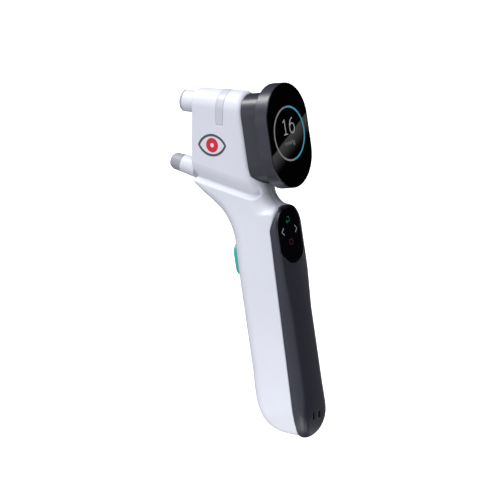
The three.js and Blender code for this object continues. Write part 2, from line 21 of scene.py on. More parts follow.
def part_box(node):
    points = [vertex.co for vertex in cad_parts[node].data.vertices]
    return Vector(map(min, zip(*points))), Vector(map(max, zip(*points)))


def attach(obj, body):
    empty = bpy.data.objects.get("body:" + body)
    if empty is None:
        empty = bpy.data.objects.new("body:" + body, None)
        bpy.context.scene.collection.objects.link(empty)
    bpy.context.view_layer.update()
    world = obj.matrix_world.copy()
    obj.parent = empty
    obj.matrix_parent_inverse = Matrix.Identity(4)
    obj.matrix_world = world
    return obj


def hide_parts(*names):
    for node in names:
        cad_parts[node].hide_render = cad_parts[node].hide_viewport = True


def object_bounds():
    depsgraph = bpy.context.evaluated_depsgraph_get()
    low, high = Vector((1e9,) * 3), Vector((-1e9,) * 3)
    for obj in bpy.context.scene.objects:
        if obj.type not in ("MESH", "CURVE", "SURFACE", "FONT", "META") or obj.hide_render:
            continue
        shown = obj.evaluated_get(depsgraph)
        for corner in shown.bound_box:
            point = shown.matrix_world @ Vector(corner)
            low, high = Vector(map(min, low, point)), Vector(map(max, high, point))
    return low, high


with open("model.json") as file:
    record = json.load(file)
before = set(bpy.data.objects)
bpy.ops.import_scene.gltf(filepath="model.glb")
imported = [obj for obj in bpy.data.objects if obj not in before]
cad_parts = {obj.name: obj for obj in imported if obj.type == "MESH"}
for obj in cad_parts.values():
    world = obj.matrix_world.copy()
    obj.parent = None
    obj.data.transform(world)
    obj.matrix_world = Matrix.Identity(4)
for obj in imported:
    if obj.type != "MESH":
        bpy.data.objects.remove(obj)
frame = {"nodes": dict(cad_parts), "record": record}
cad_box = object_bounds()

# ---------- the design frames ----------

MM = 0.001
MOUNTS = {mount["name"]: mount for mount in frame["record"]["mounts"]}
CENTRE = np.array(MOUNTS["screen_face"]["pos_m"]) / MM
LEAN = math.asin(MOUNTS["screen_face"]["axis"][2])
REST_Z = MOUNTS["forehead_face"]["pos_m"][2] / MM - CENTRE[2]


def turned(u, v, angle):
    return u * math.cos(angle) - v * math.sin(angle), u * math.sin(angle) + v * math.cos(angle)


def head_of(a, b):
    """The head frame's (y, z) of a point of the grip frame."""
    return turned(a, b, -LEAN)


def grip_of(y, z):
    """The grip frame's (a, b) of a point of the head frame."""
    return turned(y, z, LEAN)


def world_of(x, y, z):
    """Head frame millimetres as an array of points in metres."""
    return (np.stack(np.broadcast_arrays(x, y, z), axis=-1) + CENTRE) * MM


def place_grip(x, a, b):
    y, z = head_of(a, b)
    return world_of(x, y, z)


# ---------- driving dimensions, as in the CAD ----------

GAP = 0.3
WALL = 2.2

FACE_WIDTH = 46.6
FACE_HEIGHT = 66.6
FACE_TOP = FACE_HEIGHT / 2 - 1.1
GLASS_THICKNESS = 1.8
SCREEN_DEPTH = 9.4
NECK_WIDTH = 25.2
NECK_HEIGHT = 56.7
NECK_TOP = NECK_HEIGHT / 2 - 1.5
NECK_END = 26.3
NECK_SEAT_GAP = 0.15

GRIP_HALF_WIDTH = 14.5
GRIP_FRONT = 47.9
COVER_BACK = 8.0
COVER_TOP = -44.4
COVER_BOTTOM = -193.2
COVER_WALL = 2.0
COVER_CROWN_RADIUS = 62
COVER_SEAM_TOP = 15.7
COVER_SEAM_BOTTOM = 18.2
COVER_SEAM_GAP = 0.14
HEEL_ROUND = 21
HEEL = COVER_BOTTOM + HEEL_ROUND
WINDOW_WIDTH = 2 * GRIP_HALF_WIDTH + 1
WINDOW_TOP = COVER_TOP + 0.5
WINDOW_BOTTOM = -81.8
WINDOW_WRAP = 2.3
WINDOW_SINK = 0.02
WINDOW_THICKNESS = 1.2
WINDOW_SEAT_DEPTH = 1.35
WINDOW_SEAT_GAP = 0.04
STRAP_SLOT_X = 3.2
STRAP_SLOT_B = -178.6
STRAP_SLOT_HALF = 2.3
STRAP_SLOT_RADIUS = 0.95
# The black liners in the strap slots are painted shade for the dark inside of each slot.
SLOT_SHADE_WALL = 0.35
SLOT_SHADE_DEPTH = 2.9
SLOT_SHADE_SINK = 0.12

HEAD_FRONT = 67
RIDGE_FRONT = (70, 12.4, 9.5)
RIDGE_REAR = (14, 11.7, 13.0)
CHIN_Z = -38.4
SHOULDER_TOP = -34
SHOULDER_BOTTOM = -92
BAND_START = 42.3
BAND_END = 47.9
BAND_BOTTOM = 2
BAND_THICKNESS = 1.2
BAND_SEAT_DEPTH = 1.5

REST_RADIUS = 7.0
REST_BORE = 5.4
REST_BACK = 41.8
REST_FRONT = 76.4
REST_PAD = 1.6
REST_BORE_GAP = 0.25
REST_BORE_END = 30

NOSE_MOUTH_Y = 78.4
NOSE_MOUTH_Z = -27.8
NOSE_TILT = math.radians(9.4)
NOSE_LENGTH = 11.2
NOSE_TIP_RADIUS = 5.7
NOSE_ROOT_RADIUS = 6.4
NOSE_PLUG_RADIUS = 4.9
NOSE_PLUG_LENGTH = 7
NOSE_BORE = 3.2
NOSE_SEAT_GAP = 0.12
NOSE_BORE_DEPTH = 30
COLLAR_LENGTH = 8.4
COLLAR_SPIGOT = 2.9
COLLAR_SPIGOT_LENGTH = 15
PROBE_BORE = 1.3

SCOOP_ROUND = 13
SCOOP_TOP = 6.5
SCOOP_EDGE = -6
SCOOP_LEDGE_SLOPE = math.radians(40)
SCOOP_LENGTH = 57
SCOOP_LEDGE_EDGE = 1.8
SCOOP_REAR_EDGE = 2.5
SCOOP_BRIM_EDGE = 0.45

BUTTON_B = -77
BUTTON_LENGTH = 21
BUTTON_WIDTH = 12
BUTTON_FACE = GRIP_FRONT + 2.9
BUTTON_OPENING_GAP = 0.25
BUTTON_OPENING_BACK = 40
BUTTON_FLANGE = 0.9
BUTTON_FLANGE_BACK = 42.6
BUTTON_FLANGE_FRONT = 44.0

BATTERY_WAY_B = -121
BATTERY_WAY_HALF = 10, 59
CABLE_HOLE_RADIUS = 5
BOSS_RADIUS = 3
SCREW_SHANK_RADIUS = 1.25
SCREW_SHANK_REACH = 7
SCREW_WELL_RADIUS = 2.2
SCREW_WELL_FLOOR = 5.7
SCREW_NODES = [node for node in frame["nodes"] if node.startswith("housing_screw")]


def nose_of(y, z):
    """Distance along the nose's axis from its mouth, and height above that axis."""
    return turned(y - NOSE_MOUTH_Y, z - NOSE_MOUTH_Z, -NOSE_TILT)


def place_nose(x, along, above):
    y, z = turned(along, above, NOSE_TILT)
    return world_of(x, NOSE_MOUTH_Y + y, NOSE_MOUTH_Z + z)


def place_rest(x, y, above):
    return world_of(x, y, REST_Z + above)


# ---------- distance fields: negative inside, millimetres ----------

def rounded_and(first, second, radius):
    """What two solids share, with the edge between them rounded."""
    outside = np.hypot(np.maximum(first + radius, 0), np.maximum(second + radius, 0))
    return np.minimum(np.maximum(first, second), -radius) + outside


def layer(outside, top, bottom):
    """The part of a solid between two depths under its surface."""
    return np.maximum(outside + top, -(outside + bottom))


def smoothstep(value, start, end):
    t = np.clip((value - start) / (end - start), 0, 1)
    return t * t * (3 - 2 * t)


def rounded_box(u, v, half_u, half_v, radius):
    """Distance to a rectangle with round corners about the origin."""
    du = np.abs(u) - half_u + radius
    dv = np.abs(v) - half_v + radius
    return np.hypot(np.maximum(du, 0), np.maximum(dv, 0)) + np.minimum(np.maximum(du, dv), 0) - radius


def stadium_field(x, b, width, top, bottom):
    radius = width / 2
    return np.hypot(x, b - np.clip(b, bottom + radius, top - radius)) - radius


def smooth_through(points, steps=12):
    """A Catmull-Rom curve through a list of points, whose last entries are edge radii."""
    points = np.array(points, float)
    ends = np.vstack([2 * points[0] - points[1], points, 2 * points[-1] - points[-2]])
    made = []
    for before, start, end, after in zip(ends, ends[1:], ends[2:], ends[3:]):
        for t in np.arange(steps) / steps:
            made.append(0.5 * (2 * start + (end - before) * t
                               + (2 * before - 5 * start + 4 * end - after) * t * t
                               + (3 * start - before - 3 * end + after) * t ** 3))
    return made + [points[-1]]


class Outline:
    """Signed distance to a closed outline in (a, b), and the edge radius wanted nearby, both looked up
    on a fine grid. Each point of the outline is (a, b, edge radius)."""

    STEP = 0.3
    MARGIN = 9
    BLUR_PASSES = 40

    def __init__(self, points):
        points = np.array(points, float)
        self.low = points[:, :2].min(0) - self.MARGIN
        counts = np.ceil((points[:, :2].max(0) + self.MARGIN - self.low) / self.STEP).astype(int) + 2
        axes = [low + self.STEP * np.arange(count) for low, count in zip(self.low, counts)]
        a, b = np.meshgrid(*axes, indexing="ij")
        distance = np.full(a.shape, 1e9)
        radius = np.zeros(a.shape)
        inside = np.zeros(a.shape, bool)
        for (a0, b0, r0), (a1, b1, r1) in zip(points, np.roll(points, -1, axis=0)):
            length2 = max((a1 - a0) ** 2 + (b1 - b0) ** 2, 1e-12)
            t = np.clip(((a - a0) * (a1 - a0) + (b - b0) * (b1 - b0)) / length2, 0, 1)
            d = np.hypot(a - a0 - t * (a1 - a0), b - b0 - t * (b1 - b0))
            nearer = d < distance
            distance = np.where(nearer, d, distance)
            radius = np.where(nearer, r0 + t * (r1 - r0), radius)
            if b0 != b1:
                between = (b0 > b) != (b1 > b)
                inside ^= between & (a < a0 + (b - b0) * (a1 - a0) / (b1 - b0))
        for _ in range(self.BLUR_PASSES):
            for axis in (0, 1):
                radius = (radius + np.roll(radius, 1, axis) + np.roll(radius, -1, axis)) / 3
        self.distance = np.where(inside, -distance, distance)
        self.radius = radius

    def look_up(self, table, a, b):
        u = np.clip((a - self.low[0]) / self.STEP, 0, table.shape[0] - 1.001)
        v = np.clip((b - self.low[1]) / self.STEP, 0, table.shape[1] - 1.001)
        i, j = u.astype(int), v.astype(int)
        u, v = u - i, v - j
        return ((table[i, j] * (1 - u) + table[i + 1, j] * u) * (1 - v)
                + (table[i, j + 1] * (1 - u) + table[i + 1, j + 1] * u) * v)

    def __call__(self, a, b):
        return self.look_up(self.distance, a, b)

    def edge(self, a, b):
        return self.look_up(self.radius, a, b)


# ---------- meshes ----------

SHARP_ANGLE = math.radians(35)


def add_object(name, data):
    """A new object in the scene's own collection."""
    made = bpy.data.objects.new(name, data)
    bpy.context.scene.collection.objects.link(made)
    return made


def new_piece(name, vertices, faces, look, body, replaces=()):
    """A smooth-shaded mesh object from points in metres, riding on a body."""
    mesh = bpy.data.meshes.new(name)
    mesh.from_pydata([tuple(v) for v in vertices], [], [tuple(f) for f in faces])
    mesh.validate()
    mesh.shade_smooth()
    piece = add_object(name, mesh)
    mesh.materials.append(look)
    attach(piece, body)
    if replaces:
        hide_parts(*replaces)
    return piece


CUBE = np.array([(i, j, k) for i in (0, 1) for j in (0, 1) for k in (0, 1)])
CUBE_EDGES = [(m, n) for m in range(8) for n in range(m + 1, 8) if abs(CUBE[m] - CUBE[n]).sum() == 1]
UNIT = np.eye(3, dtype=int)


def surface_net(field, low, high, cell):
    """Vertices and quads of the surface where field(x, a, b) passes zero inside a box."""
    axes = [np.arange(start, end + cell, cell) for start, end in zip(low, high)]
    values = field(*np.meshgrid(*axes, indexing="ij"))
    inside = values < 0
    cells = np.array(values.shape) - 1
    corner_count = sum(inside[i:i + cells[0], j:j + cells[1], k:k + cells[2]].astype(int) for i, j, k in CUBE)
    active = np.argwhere((corner_count > 0) & (corner_count < 8))
    number = np.full(cells, -1)
    number[tuple(active.T)] = np.arange(len(active))
    corners = np.stack([values[tuple((active + corner).T)] for corner in CUBE], axis=1)
    total = np.zeros((len(active), 3))
    crossings = np.zeros((len(active), 1))
    for m, n in CUBE_EDGES:
        crossed = ((corners[:, m] < 0) != (corners[:, n] < 0))[:, None]
        t = np.divide(corners[:, m], corners[:, m] - corners[:, n], where=crossed[:, 0],
                      out=np.zeros(len(active)))[:, None]
        total += np.where(crossed, CUBE[m] + t * (CUBE[n] - CUBE[m]), 0)
        crossings += crossed
    vertices = np.array(low) + cell * (active + total / crossings)
    vertices = pulled_to_surface(field, vertices, cell)

    quads = []
    for axis in range(3):
        u, v = UNIT[(axis + 1) % 3], UNIT[(axis + 2) % 3]
        ends = [slice(1, None) if n == axis else slice(None) for n in range(3)]
        starts = [slice(0, -1) if n == axis else slice(None) for n in range(3)]
        leaving = inside[tuple(starts)]
        spots = np.argwhere(leaving != inside[tuple(ends)])
        spots = spots[((spots - u - v >= 0).all(1)) & ((spots < cells).all(1))]
        ring = np.stack([number[tuple((spots - step).T)] for step in (0 * u, u, u + v, v)], axis=1)
        outwards = leaving[tuple(spots.T)]
        quads.append(np.where(outwards[:, None], ring, ring[:, ::-1]))
    return vertices, np.concatenate(quads)


def pulled_to_surface(field, vertices, cell, rounds=3):
    """Moves each vertex along the field's slope on to the surface, by at most a cell in all."""
    step = 0.05
    least_slope2 = 0.2
    start = vertices.copy()
    for _ in range(rounds):
        value = field(*vertices.T)
        slope = np.stack([field(*(vertices + step * axis).T) - value for axis in UNIT], axis=1) / step
        slope2 = np.maximum((slope ** 2).sum(1), least_slope2)
        move = vertices - slope * (value / slope2)[:, None] - start
        length = np.linalg.norm(move, axis=1, keepdims=True)
        vertices = start + move * np.minimum(1, cell / np.maximum(length, 1e-9))
    return vertices


def moulded(name, field, low, high, cell, look, slot, replaces=()):
    """A housing piece meshed from a distance field in the grip frame, inside the box low to high."""
    vertices, quads = surface_net(field, low, high, cell)
    new_piece(name, place_grip(*vertices.T), quads, look, "housing", replaces)


def bridge(here, there, count, steps):
    """Quads between two rows of count points whose numbers start at here and there."""
    pairs = [(i, (i + 1) % count) for i in range(steps)]
    return [(here + i, here + j, there + j, there + i) for i, j in pairs]


def loft(name, section, profile, place, look, replaces, body="housing", closed=False):
    """Rings section(size) at each (size, along) of a profile with round corners, joined in order. The
    ends are capped, or a closed loft runs back to its first ring, as a tube's wall does."""
    rings = [(np.array(section(size)), along) for size, along in with_round_corners(profile)]
    count = len(rings[0][0])
    vertices = np.concatenate([place(ring[:, 0], along, ring[:, 1]) for ring, along in rings])
    last = len(rings) if closed else len(rings) - 1
    faces = []
    for n in range(last):
        faces += bridge(n * count, (n + 1) % len(rings) * count, count, count)
    if not closed:
        faces.append(tuple(reversed(range(count))))
        faces.append(tuple(range(last * count, (last + 1) * count)))
    piece = new_piece(name, vertices, faces, look, body, replaces)
    finish_faces(piece)
    shading = piece.modifiers.new("flat_faces_stay_flat", "WEIGHTED_NORMAL")
    shading.keep_sharp = True


def finish_faces(piece):
    """Turns every face of a closed mesh outwards and keeps its corners sharp."""
    made = bmesh.new()
    made.from_mesh(piece.data)
    bmesh.ops.recalc_face_normals(made, faces=made.faces)
    made.to_mesh(piece.data)
    made.free()
    piece.data.set_sharp_from_angle(angle=SHARP_ANGLE)


def arc(centre_u, centre_v, radius_u, radius_v, start, end, count=48):
    turns = np.radians(np.linspace(start, end, count))
    return np.stack([centre_u + radius_u * np.cos(turns), centre_v + radius_v * np.sin(turns)], axis=1)


def circle(radius, count=96):
    return arc(0, 0, radius, radius, 0, 360, count + 1)[:-1]


def stadium_section(width, top, height):
    """A section for loft: an upright stadium of (x, b), drawn in by an inset all round."""
    upper, lower = top - width / 2, top - height + width / 2

    def section(inset):
        radius = width / 2 - inset
        halves = [arc(0, upper, radius, radius, 0, 180), arc(0, lower, radius, radius, 180, 360)]
        return np.concatenate(halves)

    return section


def with_round_corners(corners, steps=6):
    """Replaces each (size, along, radius) corner of a profile by an arc. A radius of 0 stays sharp."""
    made = []
    for n, (u, v, radius) in enumerate(corners):
        here = np.array([u, v], float)
        if radius == 0:
            made.append(tuple(here))
            continue
        arms = [corners[m % len(corners)][:2] - here for m in (n - 1, n + 1)]
        before, after = (arm / np.linalg.norm(arm) for arm in arms)
        half_angle = math.acos(np.clip(before @ after, -1, 1)) / 2
        centre = here + (before + after) / np.linalg.norm(before + after) * radius / math.sin(half_angle)
        reach = radius / math.tan(half_angle)
        start, end = here + before * reach - centre, here + after * reach - centre
        for t in np.linspace(0, 1, steps):
            arm = start * (1 - t) + end * t
            made.append(tuple(centre + arm / np.linalg.norm(arm) * radius))
    return made


# ---------- materials ----------

CLOUD_SCALE = 35
SMOOTHEST = 0.02
GRAIN_DEPTH = 0.0001
STRIPE_DEPTH = 0.0002
STRIPE_EDGE = 0.15


def set_inputs(node, values):
    for name, value in values.items():
        node.inputs[name].default_value = value
    return node


def map_range(tree, value, source, result=(0, 1), smooth=False):
    """Adds a node that carries a value from the source range to the result range."""
    node = tree.nodes.new("ShaderNodeMapRange")
    node.interpolation_type = "SMOOTHSTEP" if smooth else "LINEAR"
    set_inputs(node, dict(zip(("From Min", "From Max", "To Min", "To Max"), (*source, *result))))
    tree.links.new(value, node.inputs["Value"])
    return node.outputs["Result"]


def ramp(tree, value, stops):
    """Adds a colour ramp through (position, colour) stops."""
    node = tree.nodes.new("ShaderNodeValToRGB")
    elements = node.color_ramp.elements
    while len(elements) < len(stops):
        elements.new(0.5)
    for element, (position, color) in zip(elements, stops):
        element.position = position
        element.color = (*color, 1)
    tree.links.new(value, node.inputs["Fac"])
    return node.outputs["Color"]


def coordinate(tree, kind, axis):
    """Adds the nodes that give one coordinate of the place or direction being shaded."""
    place = tree.nodes.new("ShaderNodeTexCoord")
    split = tree.nodes.new("ShaderNodeSeparateXYZ")
    tree.links.new(place.outputs[kind], split.inputs["Vector"])
    return split.outputs[axis]


def noise(tree, scale, detail):
    """Adds a noise texture that sits still on the object."""
    place = tree.nodes.new("ShaderNodeTexCoord")
    node = set_inputs(tree.nodes.new("ShaderNodeTexNoise"), {"Scale": scale, "Detail": detail})
    tree.links.new(place.outputs["Object"], node.inputs["Vector"])
    return node.outputs["Fac"]


def add_bump(tree, height, strength, depth):
    bump = set_inputs(tree.nodes.new("ShaderNodeBump"), {"Strength": strength, "Distance": depth})
    tree.links.new(height, bump.inputs["Height"])
    tree.links.new(bump.outputs["Normal"], tree.nodes["Principled BSDF"].inputs["Normal"])


def material(name, color, roughness, shade=0.06, grain=0.0, grain_scale=900, roughness_spread=0.08,
             metallic=0.0, coat=0.0):
    """A moulded or metal surface: colour that drifts slightly, uneven gloss, and a fine grain."""
    look = bpy.data.materials.new(name)
    look.use_nodes = True
    tree = look.node_tree
    shader = set_inputs(tree.nodes["Principled BSDF"],
                        {"Metallic": metallic, "Coat Weight": coat, "Coat Roughness": SMOOTHEST})
    cloud = noise(tree, CLOUD_SCALE, 3)
    darker, paler = ([min(1, channel * share) for channel in color] for share in (1 - shade, 1 + shade))
    tree.links.new(ramp(tree, cloud, [(0.3, darker), (0.7, paler)]), shader.inputs["Base Color"])
    glossiest = max(SMOOTHEST, roughness - roughness_spread / 2)
    gloss = map_range(tree, cloud, (0, 1), (glossiest, roughness + roughness_spread / 2))
    tree.links.new(gloss, shader.inputs["Roughness"])
    if grain:
        add_bump(tree, noise(tree, grain_scale, 2), grain, GRAIN_DEPTH)
    return look


def striped(look, color, scale, axis, share=0.5):
    """Adds fine bands across a material, as wire turns, printed tracks or a sleeve's print."""
    tree = look.node_tree
    base = tree.nodes["Principled BSDF"].inputs["Base Color"]
    place = tree.nodes.new("ShaderNodeTexCoord")
    wave = set_inputs(tree.nodes.new("ShaderNodeTexWave"), {"Scale": scale})
    wave.bands_direction = axis
    tree.links.new(place.outputs["Object"], wave.inputs["Vector"])
    mix = tree.nodes.new("ShaderNodeMix")
    mix.data_type = "RGBA"
    set_inputs(mix, {"B": (*color, 1)})
    stripes = map_range(tree, wave.outputs["Fac"], (share, min(1, share + STRIPE_EDGE)))
    tree.links.new(stripes, mix.inputs["Factor"])
    tree.links.new(base.links[0].from_socket, mix.inputs["A"])
    tree.links.new(mix.outputs["Result"], base)
    add_bump(tree, wave.outputs["Fac"], 0.3, STRIPE_DEPTH)
    return look


def lit(look, color, strength):
    """Makes a material glow, as a lit display segment does."""
    shader = look.node_tree.nodes["Principled BSDF"]
    set_inputs(shader, {"Emission Color": (*color, 1), "Emission Strength": strength})
    return look


WHITE = material("housing_white", (0.73, 0.735, 0.80), 0.34, shade=0.012, grain=0.05)
SLATE = material("slate_plastic", (0.033, 0.034, 0.046), 0.28, shade=0.04, grain=0.03,
                 roughness_spread=0.02)
COVER = material("cover_plastic", (0.031, 0.032, 0.046), 0.40, shade=0.05, grain=0.08, grain_scale=1400)
GLASS = material("screen_glass", (0.0015, 0.0015, 0.002), 0.03, roughness_spread=0.01, coat=0.3)
WINDOW = material("keypad_window", (0.003, 0.003, 0.005), 0.10, roughness_spread=0.03, coat=0.3)
# Painted shade: near-black liners that stand in for the shade inside the strap slots.
SLOT_SHADE = material("strap_slot_painted_shade", (0.004, 0.004, 0.006), 0.45, shade=0.02, grain=0.1)
BAND = material("light_band", (0.60, 0.60, 0.66), 0.28, shade=0.02)
TEAL = material("button_teal", (0.03, 0.42, 0.37), 0.32, shade=0.05, grain=0.08)
COLLAR = material("collar_grey", (0.36, 0.36, 0.40), 0.45, shade=0.03, grain=0.12)
PAD = material("pad_rubber", (0.42, 0.42, 0.47), 0.6, shade=0.06, grain=0.2)
INNER = material("inner_plastic", (0.03, 0.03, 0.035), 0.5, shade=0.1, grain=0.2)
BOARD = striped(material("circuit_board", (0.02, 0.12, 0.05), 0.4, shade=0.1), (0.05, 0.24, 0.1), 190, "Z")
BRASS = material("brass", (0.7, 0.5, 0.2), 0.3, shade=0.06, metallic=1.0, grain=0.1)
RIBBON = striped(material("ribbon", (0.5, 0.28, 0.06), 0.35), (0.75, 0.55, 0.3), 320, "X")
COPPER = striped(material("copper_winding", (0.6, 0.25, 0.12), 0.3, metallic=0.8), (0.3, 0.1, 0.05), 700, "Y")
STEEL = material("screw_steel", (0.6, 0.6, 0.62), 0.3, shade=0.05, metallic=1.0, grain=0.1)
CELL = striped(material("cell_sleeve", (0.05, 0.15, 0.35), 0.3), (0.7, 0.72, 0.75), 6, "Z", share=0.9)
DIGITS = lit(material("display_white", (0.5, 0.5, 0.5), 0.3), (0.55, 0.55, 0.54), 0.155)
UNIT_TEXT = lit(material("display_unit", (0.1, 0.1, 0.1), 0.3), (0.5, 0.5, 0.49), 0.2)
RING_REST = lit(material("display_grey", (0.2, 0.2, 0.2), 0.3), (0.5, 0.5, 0.49), 0.175)
RING_READ = lit(material("display_blue", (0.05, 0.3, 0.4), 0.3), (0.08, 0.29, 0.44), 0.40)
KEY_PALE = lit(material("keypad_pale", (0.28, 0.3, 0.32), 0.4), (0.4, 0.42, 0.46), 0.22)
KEY_GREEN = lit(material("keypad_green", (0.02, 0.14, 0.07), 0.4), (0.04, 0.4, 0.2), 0.08)
KEY_RED = lit(material("keypad_red", (0.12, 0.02, 0.02), 0.4), (0.35, 0.02, 0.03), 0.06)
PRINT_DARK = material("print_dark", (0.075, 0.075, 0.09), 0.45, shade=0.05, grain=0.1)
PRINT_RED = material("print_red", (0.66, 0.012, 0.035), 0.4, shade=0.05, grain=0.1)

INNER_LOOKS = (
    (BOARD, "amplifier_board main_board switch_board display_board keypad_touch_board"),
    (BOARD, "band_lamp_board_left band_lamp_board_right"),
    (BRASS, "probe_base battery_contact_top battery_contact_bottom"),
    (COPPER, "drive_coil sense_coil"),
    (INNER, "rest_guide_sleeve coil_bobbin battery_cradle beeper measure_switch display_module"),
    (STEEL, " ".join(["coil_shield", *SCREW_NODES])),
    (RIBBON, "display_ribbon"),
    (CELL, "battery_cell"),
    (PAD, "rest_brake_pad"),
)


def finish_inner_nodes():
    """The inner pieces keep their CAD shape and get a material."""
    for look, nodes in INNER_LOOKS:
        for node in nodes.split():
            slots = frame["nodes"][node].data.materials
            slots.clear()
            slots.append(look)


# ---------- the white housing ----------

def housing_outline():
    """Side view of the housing in the grip frame, as (a, b, edge radius)."""
    chin_front = grip_of(HEAD_FRONT - 1.8, CHIN_Z + 0.8)
    front_low = grip_of(HEAD_FRONT, CHIN_Z + 3)
    front_mid = grip_of(HEAD_FRONT, CHIN_Z + 5)
    front_high = grip_of(HEAD_FRONT, 34)
    rear = [(NECK_END, 38, 3.4), (NECK_END, 12, 3.4), (NECK_END, 0, 3.2)]
    neck = smooth_through([
        (NECK_END, -14, 3.2), (25.6, -19, 4.5), (22.8, -23.2, 8), (20.6, -27.5, 11), (19.9, -33, 11.5),
        (19.5, -37, 11.5), (18.0, -40.4, 11.5), (15.6, -43.4, 11), (13.3, -45.2, 8), (11.9, -47.2, 3.5),
        (12.1, -50, 1.4), (13.6, -53.6, 0.8), (COVER_SEAM_TOP, -59, 0.6)])
    heel = smooth_through([
        (COVER_SEAM_BOTTOM + 2.6, -190.3, 0.8), (23.5, -190.0, 2), (27.5, -189.1, 3.0),
        (35.0, -186.0, 4.2), (41.3, -179.5, 5.5), (45.5, -171, 7), (47.6, -161, 9), (GRIP_FRONT, -148, 11)])
    throat = smooth_through([
        (GRIP_FRONT, -76, 11), (48.2, -63, 11), (50.2, -53.4, 10), (53.8, -45.6, 8.5), (59.9, -38.4, 7.0),
        (65.6, -32.4, 5.0), (*chin_front, 3.0)])
    nose_end = [(*front_low, 1.6), (*front_mid, 1.2), (*front_high, 1.2)]
    seam_end = [(COVER_SEAM_BOTTOM, -178, 0.6), (COVER_SEAM_BOTTOM + 0.7, -184, 0.6)]
    return Outline(rear + neck + seam_end + heel + throat + nose_end)


SIDE_VIEW = housing_outline()


def ridge_at(y):
    """Height of the ridge's axis and half the head's width at a distance y from the screen."""
    t = (y - RIDGE_REAR[0]) / (RIDGE_FRONT[0] - RIDGE_REAR[0])
    return [rear + t * (front - rear) for rear, front in zip(RIDGE_REAR[1:], RIDGE_FRONT[1:])]


def heel_ellipse(x, b, half):
    """About the distance past straight sides at x = half that end in an ellipse below HEEL."""
    drop = np.maximum(HEEL - b, 0)
    reach = np.hypot(x / half, drop / HEEL_ROUND)
    slope = np.hypot(x / half ** 2, drop / HEEL_ROUND ** 2) + 1e-6
    return reach * (reach - 1) / slope


def sideways(x, a, b):
    """Distance past the housing's sides: an arch over the ridge, straight sides down the head, and a
    wider handle that ends in an ellipse."""
    y, z = head_of(a, b)
    ridge_z, head_half = ridge_at(y)
    grip_share = 1 - smoothstep(b, SHOULDER_BOTTOM, SHOULDER_TOP)
    low = heel_ellipse(x, b, head_half + grip_share * (GRIP_HALF_WIDTH - head_half))
    high = np.hypot(x, z - ridge_z) - head_half
    return np.where(z > ridge_z, high, low)


def scoop_field(body, a, b):
    """The finger scoops beside the nose. The side turns under along SCOOP_ROUND, down to a sloping
    ledge, and the channel ends round at its rear. body is the distance to the side it is cut from."""
    along, above = nose_of(*head_of(a, b))
    upper = np.hypot(body + SCOOP_ROUND, np.minimum(above - SCOOP_TOP, 0)) - SCOOP_ROUND
    ledge = body * math.sin(SCOOP_LEDGE_SLOPE) + (above - SCOOP_EDGE) * math.cos(SCOOP_LEDGE_SLOPE)
    rear = np.hypot(np.maximum(-SCOOP_LENGTH - along, 0), above) - SCOOP_TOP - GAP
    return rounded_and(rounded_and(-upper, -ledge, SCOOP_LEDGE_EDGE), rear, SCOOP_REAR_EDGE)


def housing_outside(x, a, b):
    body = rounded_and(SIDE_VIEW(a, b), sideways(x, a, b), SIDE_VIEW.edge(a, b))
    body = rounded_and(body, -scoop_field(body, a, b), SCOOP_BRIM_EDGE)
    neck = stadium_field(x, b, NECK_WIDTH + 2 * NECK_SEAT_GAP, NECK_TOP + NECK_SEAT_GAP,
                         NECK_TOP - NECK_HEIGHT - NECK_SEAT_GAP)
    return rounded_and(body, -np.maximum(neck, a - NECK_END), 0.5)


def band_zone(a, b, extra=0.0):
    """The strip over the ridge that the light band fills, with round lower corners. It reaches well
    above the ridge."""
    y, z = head_of(a, b)
    half_height = 30
    return rounded_box(y - (BAND_START + BAND_END) / 2, z - BAND_BOTTOM - half_height,
                       (BAND_END - BAND_START) / 2 + extra, half_height + extra, 1.2)


def screw_spots():
    """(a, b) of each housing screw's axis."""
    spots = []
    for node in SCREW_NODES:
        low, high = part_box(node)
        middle = np.array((low + high) / 2) / MM - CENTRE
        spots.append(grip_of(middle[1], middle[2]))
    return spots


SCREW_SPOTS = screw_spots()


def housing_field(x, a, b):
    """The whole shell; its two halves are cut from it at x = 0."""
    outside = housing_outside(x, a, b)
    cavity = outside + WALL
    for spot_a, spot_b in SCREW_SPOTS:
        cavity = np.maximum(cavity, BOSS_RADIUS - np.hypot(a - spot_a, b - spot_b))
    shell = np.maximum(outside, -cavity)

    y, z = head_of(a, b)
    along, above = nose_of(y, z)
    rest_bore = np.maximum(np.hypot(x, z - REST_Z) - REST_RADIUS - REST_BORE_GAP, REST_BORE_END - y)
    nose_seat = np.maximum(np.hypot(x, above) - NOSE_ROOT_RADIUS - NOSE_SEAT_GAP,
                           -NOSE_LENGTH - NOSE_SEAT_GAP - along)
    nose_bore = np.maximum(np.hypot(x, above) - NOSE_PLUG_RADIUS - GAP, -NOSE_BORE_DEPTH - along)
    half_button = BUTTON_LENGTH / 2 + BUTTON_OPENING_GAP
    opening = stadium_field(x, b, BUTTON_WIDTH + 2 * BUTTON_OPENING_GAP, BUTTON_B + half_button,
                            BUTTON_B - half_button)
    button = np.maximum(opening, BUTTON_OPENING_BACK - a)
    battery_way = np.maximum(rounded_box(x, b - BATTERY_WAY_B, *BATTERY_WAY_HALF, 3), np.abs(a - 16) - 8)
    cable_hole = np.maximum(np.hypot(x, b) - CABLE_HOLE_RADIUS, np.abs(a - 28) - 4)
    band_seat = np.maximum(band_zone(a, b, 0.03), -(sideways(x, a, b) + BAND_SEAT_DEPTH))
    for cut, lip in ((rest_bore, 0.5), (nose_seat, 0.3), (nose_bore, 0.2), (button, 0.5),
                     (battery_way, 0.2), (cable_hole, 0.2), (band_seat, 0.06)):
        shell = rounded_and(shell, -cut, lip)
    for spot_a, spot_b in SCREW_SPOTS:
        across = np.hypot(a - spot_a, b - spot_b)
        well = np.maximum(across - SCREW_WELL_RADIUS, SCREW_WELL_FLOOR - x)
        shank = np.maximum(across - SCREW_SHANK_RADIUS, np.abs(x) - SCREW_SHANK_REACH)
        shell = rounded_and(rounded_and(shell, -well, 0.35), -shank, 0.1)
    return shell


